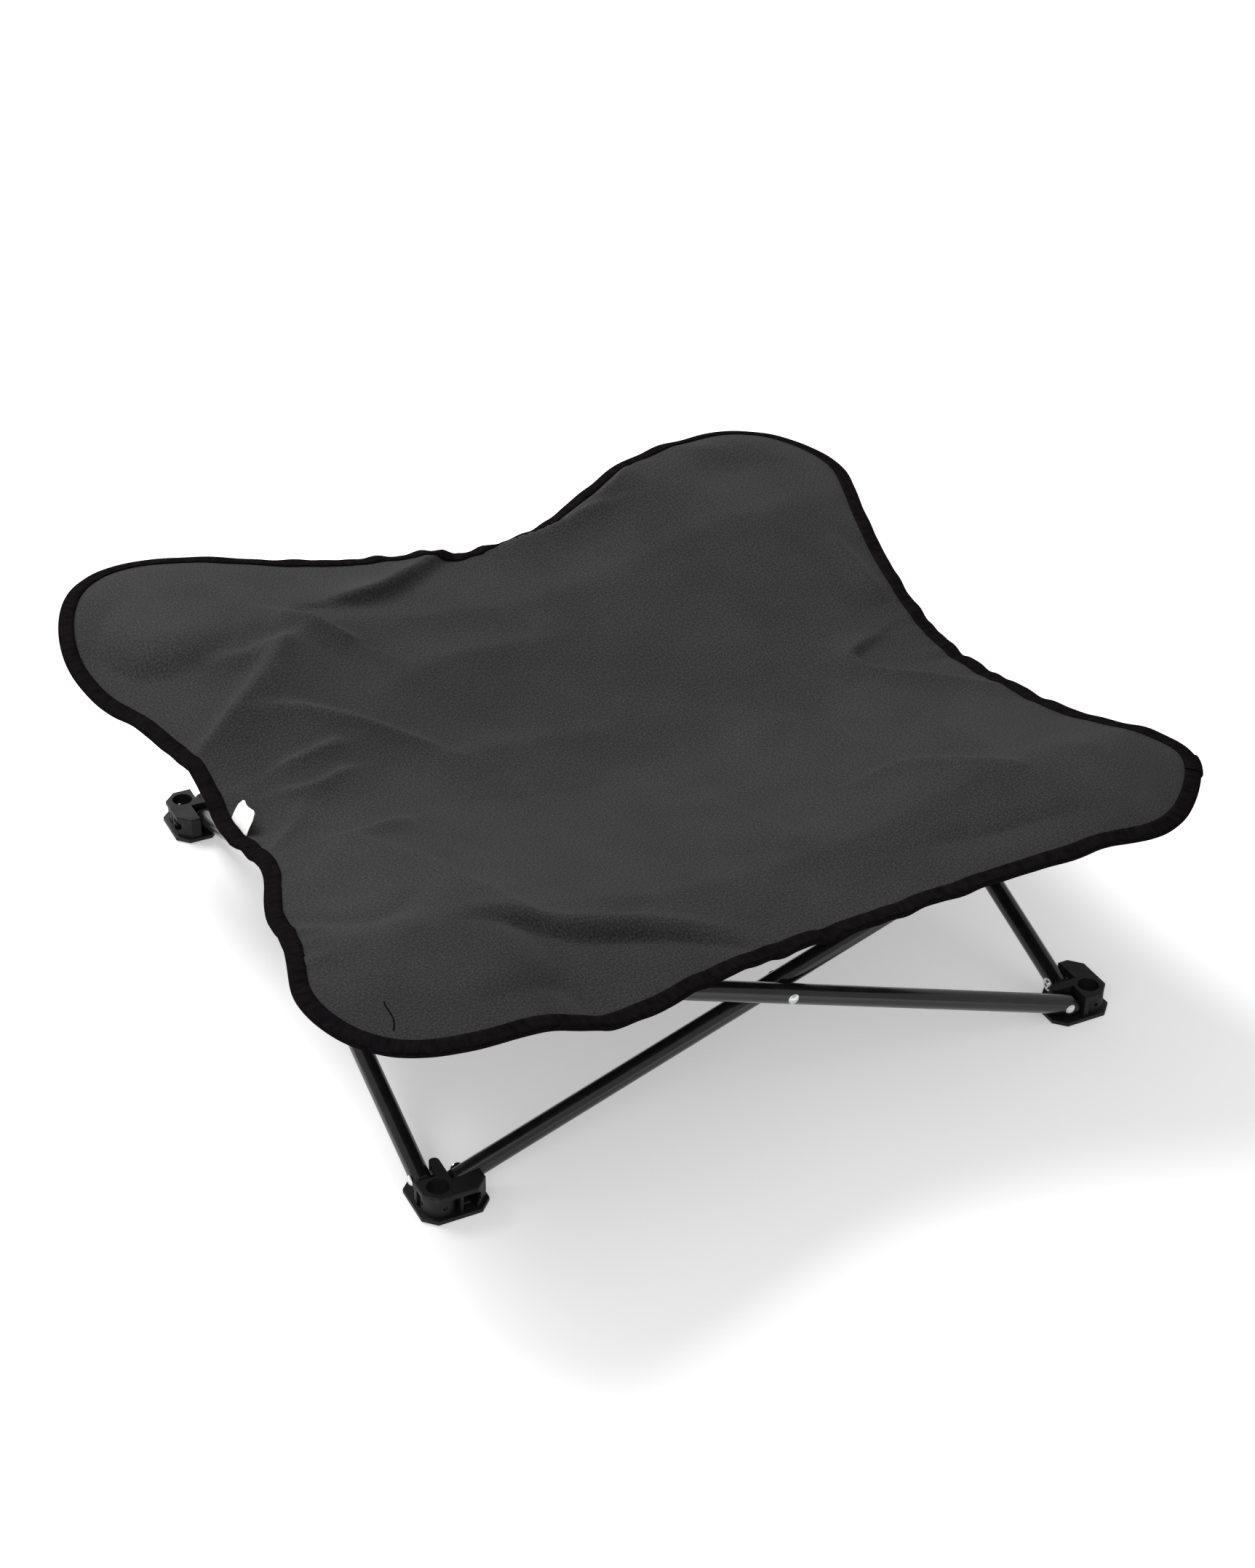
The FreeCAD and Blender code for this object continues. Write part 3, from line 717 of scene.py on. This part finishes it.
# ---- corner pockets ----
def pocket_piece(sheet, corner, material):
    """The second layer of cloth under one ear, which cups the outer half of the hub."""
    points, _, cut, _ = sheet_arrays(sheet)
    sign_x, sign_y = corner_signs(corner)
    hub = np.array([sign_x * HALF, sign_y * HALF])
    outward = math.atan2(sign_y, sign_x)
    headings = outward + np.linspace(-QUARTER, QUARTER, POCKET_HEADINGS)
    reach_of = np.array([pocket_reach(hub, heading) for heading in headings])
    rows, places = [], []
    cloth_over = place_finder(points, cut)
    low = HUB_FOOT - POCKET_CLOTH - 0.001
    for share in np.linspace(0, 1, POCKET_RINGS + 1):
        for heading, reach in zip(headings, reach_of):
            away = POCKET_START + (reach - POCKET_START) * share
            place = hub + away * np.array([math.cos(heading), math.sin(heading)])
            above = cloth_over(place)
            up = smooth_step((share - 0.42) / 0.58)
            gather = POCKET_GATHER * math.sin(heading * 26) * math.sin(math.pi * share)
            rim = above[2] - CLOTH / 2 - POCKET_CLOTH - 0.0008
            x, y = place + (above[:2] - place) * up
            rows.append((x, y, low + (rim - low) * up + gather))
            places.append(place)
    faces = [(a, d, c, b) for a, b, c, d in grid_faces(POCKET_RINGS, POCKET_HEADINGS - 1)]
    normals = surface_normals(rows, faces)
    name = f"pocket_cloth_{CORNERS[corner]}"
    piece = thick_piece(name, np.array(rows), normals, np.array(places), faces, POCKET_CLOTH)
    piece.data.materials.append(material)
    flat, area = flat_size(np.array(places), faces)
    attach(piece, f"top_{CORNERS[corner]}")
    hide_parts(f"pocket_{CORNERS[corner]}")


def pocket_reach(hub, heading):
    """From the bore axis to the inner edge of the binding, along one heading."""
    reach = 0.02
    direction = np.array([math.cos(heading), math.sin(heading)])
    while reach < 2 * EAR_RADIUS:
        place = hub + reach * direction
        if np.hypot(*place) > edge_reach(np.arctan2(place[1], place[0])) - TAPE_WIDTH - POCKET_SEAM:
            break
        reach += 0.001
    return reach


def place_finder(points, cut):
    """A function that gives where a place in the flat cut has come to lie."""
    tree = KDTree(len(points))
    for index, place in enumerate(cut):
        tree.insert((place[0], place[1], 0), index)
    tree.balance()

    def where(place):
        return points[tree.find((place[0], place[1], 0))[1]]

    return where


def smooth_step(share):
    """0 to 1, level at both ends."""
    share = min(1.0, max(0.0, share))
    return share * share * (3 - 2 * share)


# ---- label ----
def label_piece(sheet, material):
    """The blank white care label, sewn in at the binding's inner edge on the left side and standing up."""
    points, normals, _, faces = sheet_arrays(sheet)
    p, n, inward, _ = rim_rows(points, normals, faces)
    near = np.abs(p[:, 1] - LABEL_MIDDLE) < LABEL_LENGTH / 2
    left = [i for i in range(len(p)) if p[i][0] < -SEAM and near[i]]
    left.sort(key=lambda i: p[i][1])
    rows, places = [], []
    steps = LABEL_STEPS
    for k, i in enumerate(left):
        along = k / (len(left) - 1)
        corner = 1 - 0.35 * abs(2 * along - 1) ** 6
        foot = p[i] + inward[i] * (TAPE_WIDTH + 0.0006) + n[i] * CLOTH / 2
        for j in range(steps):
            up = j / (steps - 1) * LABEL_HEIGHT * corner
            lean = 0.35 * up + 14 * up**2 + 0.0012 * math.sin(along * 7 + 1) * j / steps
            rows.append(tuple(foot + inward[i] * lean + np.array([0, 0.1 * up, up * 0.93])))
            places.append((along * LABEL_LENGTH, up))
    faces = grid_faces(len(left) - 1, steps - 1)
    normals = surface_normals(rows, faces)
    piece = thick_piece("care_label_tab", np.array(rows), normals, np.array(places), faces, LABEL_CLOTH)
    piece.data.materials.append(material)
    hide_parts("care_label")
    follow_side(piece, SIDES.index("left"))


# ---- materials ----
def new_material(name, colour, roughness, metallic=0.0):
    """A material with its plain values set on the shader, with its node tree and shader."""
    material = bpy.data.materials.new(name)
    material.use_nodes = True
    shader = material.node_tree.nodes["Principled BSDF"]
    shader.inputs["Base Color"].default_value = (*colour, 1)
    shader.inputs["Roughness"].default_value = roughness
    shader.inputs["Metallic"].default_value = metallic
    return material, material.node_tree, shader


def add_node(tree, kind, **values):
    """A node with some of its inputs or settings set by name."""
    node = tree.nodes.new(kind)
    for name, value in values.items():
        if hasattr(node, name):
            setattr(node, name, value)
        else:
            node.inputs[name.replace("_", " ")].default_value = value
    return node


def cut_place(tree):
    """The place in the flat cut, in metres."""
    return add_node(tree, "ShaderNodeUVMap", uv_map="cut").outputs["UV"]


def object_place(tree):
    """The place on the object, in metres."""
    return add_node(tree, "ShaderNodeTexCoord").outputs["Object"]


def noise(tree, place, scale, detail=2.0, roughness=0.5):
    """A noise value over a place."""
    node = add_node(tree, "ShaderNodeTexNoise", Scale=scale, Detail=detail, Roughness=roughness)
    tree.links.new(place, node.inputs["Vector"])
    return node.outputs["Fac"]


def wave(tree, place, scale, direction, distortion=0.0):
    """Straight bands over a place. The scale is bands per metre."""
    node = add_node(tree, "ShaderNodeTexWave", bands_direction=direction, Scale=scale * math.tau / 20)
    node.inputs["Distortion"].default_value = distortion
    tree.links.new(place, node.inputs["Vector"])
    return node.outputs["Fac"]


def maths(tree, operation, a, b):
    """One sum on two values or sockets."""
    node = add_node(tree, "ShaderNodeMath", operation=operation)
    for socket, value in zip(node.inputs, (a, b)):
        if isinstance(value, (int, float)):
            socket.default_value = value
        else:
            tree.links.new(value, socket)
    return node.outputs[0]


def ramp(tree, value, stops):
    """Colours along a value. Stops are (position, grey or colour)."""
    node = add_node(tree, "ShaderNodeValToRGB")
    elements = node.color_ramp.elements
    while len(elements) < len(stops):
        elements.new(0.5)
    for element, (position, colour) in zip(elements, stops):
        element.position = position
        colour = colour if isinstance(colour, tuple) else (colour,) * 3
        element.color = (*colour, 1)
    tree.links.new(value, node.inputs["Fac"])
    return node.outputs["Color"]


def bump(tree, shader, height, distance, strength=1.0):
    """Relief from a height, in metres of depth."""
    node = add_node(tree, "ShaderNodeBump", Strength=strength, Distance=distance)
    tree.links.new(height, node.inputs["Height"])
    before = shader.inputs["Normal"].links
    if before:
        tree.links.new(before[0].from_socket, node.inputs["Normal"])
    tree.links.new(node.outputs["Normal"], shader.inputs["Normal"])


def sling_material():
    """Charcoal woven polyester: a fine weave with grain, and a faint bloom at grazing angles."""
    material, tree, shader = new_material("sling_fabric_look", (0.04, 0.04, 0.041), 0.82)
    shader.inputs["Sheen Weight"].default_value = 0.05
    shader.inputs["Sheen Roughness"].default_value = 0.5
    shader.inputs["Sheen Tint"].default_value = (0.8, 0.8, 0.82, 1)
    shader.inputs["Specular IOR Level"].default_value = 0.08
    place = cut_place(tree)
    warp, weft = wave(tree, place, 1050, "X"), wave(tree, place, 1050, "Y")
    weave = maths(tree, "MULTIPLY", warp, weft)
    grain = noise(tree, place, 620, 3, 0.65)
    patches = noise(tree, place, 14, 3, 0.55)
    tone = maths(tree, "ADD", maths(tree, "MULTIPLY", grain, 0.86), maths(tree, "MULTIPLY", patches, 0.14))
    tree.links.new(ramp(tree, tone, [(0.38, 0.009), (0.5, 0.019), (0.62, 0.034)]),
                   shader.inputs["Base Color"])
    tree.links.new(ramp(tree, grain, [(0.3, 0.74), (0.7, 0.9)]), shader.inputs["Roughness"])
    bump(tree, shader, weave, 0.0001, 0.25)
    bump(tree, shader, grain, 0.0001, 0.12)
    bump(tree, shader, noise(tree, place, 60, 3, 0.5), 0.0008, 0.25)
    return material


def binding_material():
    """Black grosgrain tape with fine ribs across it."""
    material, tree, shader = new_material("binding_tape_look", (0.008, 0.007, 0.008), 0.6)
    shader.inputs["Specular IOR Level"].default_value = 0.0
    place = cut_place(tree)
    ribs = wave(tree, place, 700, "X", 0.4)
    worn = noise(tree, place, 180, 3, 0.6)
    tree.links.new(ramp(tree, worn, [(0.3, (0.0035, 0.003, 0.0034)), (0.7, (0.008, 0.0068, 0.0075))]),
                   shader.inputs["Base Color"])
    bump(tree, shader, ribs, 0.0003, 0.8)
    bump(tree, shader, worn, 0.0005, 0.4)
    bump(tree, shader, stitches(tree, place), 0.0006, 0.9)
    return material


def stitches(tree, place):
    """A row of sunken lockstitches near the tape's inner edge."""
    parts = add_node(tree, "ShaderNodeSeparateXYZ")
    tree.links.new(place, parts.inputs[0])
    from_row = maths(tree, "ABSOLUTE", maths(tree, "SUBTRACT", parts.outputs["Y"], 0.0034), 0)
    in_row = maths(tree, "LESS_THAN", from_row, 0.0007)
    return maths(tree, "MULTIPLY", in_row, maths(tree, "GREATER_THAN", wave(tree, place, 300, "X"), 0.35))


def pocket_material():
    """Black woven lining."""
    material, tree, shader = new_material("pocket_fabric_look", (0.018, 0.018, 0.019), 0.8)
    shader.inputs["Sheen Weight"].default_value = 0.2
    place = cut_place(tree)
    weave = maths(tree, "MULTIPLY", wave(tree, place, 900, "X"), wave(tree, place, 900, "Y"))
    tone = noise(tree, place, 300, 3, 0.6)
    tree.links.new(ramp(tree, tone, [(0.3, 0.012), (0.7, 0.024)]), shader.inputs["Base Color"])
    bump(tree, shader, weave, 0.0002, 0.7)
    return material


def label_material():
    """White satin ribbon."""
    material, tree, shader = new_material("label_fabric_look", (0.82, 0.82, 0.8), 0.45)
    shader.inputs["Sheen Weight"].default_value = 0.3
    place = cut_place(tree)
    ribs = wave(tree, place, 2200, "Y", 0.3)
    tone = noise(tree, place, 260, 2, 0.5)
    tree.links.new(ramp(tree, tone, [(0.3, (0.74, 0.74, 0.72)), (0.7, (0.86, 0.86, 0.84))]),
                   shader.inputs["Base Color"])
    bump(tree, shader, ribs, 0.0001, 0.6)
    return material


def tube_material():
    """Gloss black powder coat on steel: faint orange peel, and a few dull scuffs."""
    material, tree, shader = new_material("tube_black_look", (0.007, 0.007, 0.0075), 0.24)
    shader.inputs["Specular IOR Level"].default_value = 0.4
    shader.inputs["Coat Weight"].default_value = 0.2
    shader.inputs["Coat Roughness"].default_value = 0.12
    place = object_place(tree)
    peel = noise(tree, place, 420, 2, 0.5)
    scuffs = noise(tree, place, 55, 5, 0.7)
    tree.links.new(ramp(tree, scuffs, [(0.45, 0.20), (0.62, 0.27), (0.75, 0.42)]), shader.inputs["Roughness"])
    tree.links.new(ramp(tree, scuffs, [(0.4, 0.005), (0.75, 0.010)]), shader.inputs["Base Color"])
    bump(tree, shader, peel, 0.00012, 0.35)
    return material


def plastic_material(name, dark, light, roughness):
    """Black moulded plastic with a fine matt grain and paler rubbed patches."""
    material, tree, shader = new_material(name, (light,) * 3, roughness)
    shader.inputs["Specular IOR Level"].default_value = 0.22
    place = object_place(tree)
    grain = noise(tree, place, 1400, 2, 0.6)
    rubbed = noise(tree, place, 70, 4, 0.6)
    tree.links.new(ramp(tree, rubbed, [(0.35, dark), (0.7, light)]), shader.inputs["Base Color"])
    tree.links.new(ramp(tree, rubbed, [(0.35, roughness + 0.08), (0.7, roughness - 0.06)]),
                   shader.inputs["Roughness"])
    bump(tree, shader, grain, 0.00015, 0.5)
    return material


def rivet_material():
    """Bright zinc plate, with faint tooling marks and dull spots."""
    material, tree, shader = new_material("rivet_steel_look", (0.72, 0.73, 0.75), 0.26, 1.0)
    place = object_place(tree)
    marks = noise(tree, place, 900, 3, 0.6)
    spots = noise(tree, place, 260, 4, 0.7)
    tree.links.new(ramp(tree, spots, [(0.4, (0.78, 0.79, 0.8)), (0.75, (0.5, 0.5, 0.5))]),
                   shader.inputs["Base Color"])
    tree.links.new(ramp(tree, spots, [(0.4, 0.22), (0.75, 0.45)]), shader.inputs["Roughness"])
    bump(tree, shader, marks, 0.0001, 0.4)
    return material


def finish_frame():
    """Give every hub, tube, plug, washer and rivet its finish."""
    hub = plastic_material("hub_plastic_look", 0.005, 0.011, 0.55)
    looks = {
        "hub": hub,
        "plugs": plastic_material("plug_plastic_look", 0.008, 0.014, 0.4),
        "washer": plastic_material("washer_plastic_look", 0.010, 0.016, 0.5),
        "rivet": rivet_material(),
        "tube": tube_material(),
    }
    for name, node in frame["nodes"].items():
        for word, look in looks.items():
            if word in name:
                for material_slot in node.material_slots:
                    material_slot.material = look
                break


# ---- camera, light and floor ----
CAMERA_PLACE = (-0.85319, -1.67120, 1.32845)
CAMERA_TURN = (-27.314, 32.64, 1.222)      # azimuth, elevation and roll, in degrees
CAMERA_LENS = 62.2
AIM = (0, 0, 0.12)                         # the lights look here
FLOOR_REACH = 30.0


def add_camera():
    """The camera: from the front left corner, a little above."""
    azimuth, elevation, roll = [math.radians(turn) for turn in CAMERA_TURN]
    back = Vector((math.sin(azimuth) * math.cos(elevation), -math.cos(azimuth) * math.cos(elevation),
                   math.sin(elevation)))
    right = Vector((0, 0, 1)).cross(back).normalized()
    up = back.cross(right)
    x = right * math.cos(roll) + up * math.sin(roll)
    y = up * math.cos(roll) - right * math.sin(roll)
    data = bpy.data.cameras.new("camera")
    data.sensor_fit, data.sensor_width, data.lens = "AUTO", 36.0, CAMERA_LENS
    data.clip_start, data.clip_end = 0.05, 50
    camera = add_object("camera", data)
    camera.matrix_world = Matrix.Translation(CAMERA_PLACE) @ Matrix((x, y, back)).transposed().to_4x4()
    bpy.context.scene.camera = camera


def add_light(name, place, size, power):
    """A soft square light that looks at the bed."""
    data = bpy.data.lights.new(name, "AREA")
    data.shape, data.size, data.energy = "SQUARE", size, power
    lamp = add_object(name, data)
    lamp.location = place
    lamp.rotation_euler = (Vector(AIM) - Vector(place)).to_track_quat("-Z", "Y").to_euler()


def add_studio():
    """A pale floor, a large light above and behind, a weaker one beside the camera, and a pale surround."""
    mesh = bpy.data.meshes.new("floor")
    reach = FLOOR_REACH
    mesh.from_pydata([(-reach, -reach, 0), (reach, -reach, 0), (reach, reach, 0), (-reach, reach, 0)], [],
                     [(0, 1, 2, 3)])
    floor = add_object("floor", mesh)
    material, tree, shader = new_material("floor_look", (0.82, 0.82, 0.82), 0.7)
    shader.inputs["Specular IOR Level"].default_value = 0.1
    shader.inputs["Emission Color"].default_value = (1, 1, 1, 1)
    shader.inputs["Emission Strength"].default_value = 0.35
    tree.links.new(ramp(tree, noise(tree, object_place(tree), 3, 2, 0.5), [(0.3, 0.84), (0.7, 0.88)]),
                   shader.inputs["Base Color"])
    mesh.materials.append(material)
    add_light("key", (-0.7, 1.5, 2.1), 1.5, 92)
    add_light("fill", (-1.6, -1.9, 1.6), 1.6, 12)
    world = bpy.data.worlds.new("surround")
    world.use_nodes = True
    world.node_tree.nodes["Background"].inputs["Color"].default_value = (1, 1, 1, 1)
    world.node_tree.nodes["Background"].inputs["Strength"].default_value = 0.55
    bpy.context.scene.world = world
    bpy.context.scene.view_settings.view_transform = "Standard"


def build():
    """Everything in order: camera and studio, frame finishes, then the cloth."""
    add_camera()
    add_studio()
    finish_frame()
    sheet = cloth_mesh()
    settle(sheet)
    finer(sheet)
    add_folds(sheet)
    cut_at_seams(sheet)
    sling_pieces(sheet, sling_material())
    tape = binding_material()
    binding_pieces(sheet, tape)
    lining = pocket_material()
    for corner in range(4):
        pocket_piece(sheet, corner, lining)
    label_piece(sheet, label_material())
    thread_piece(sheet, tape)
    bpy.data.objects.remove(sheet)


build()
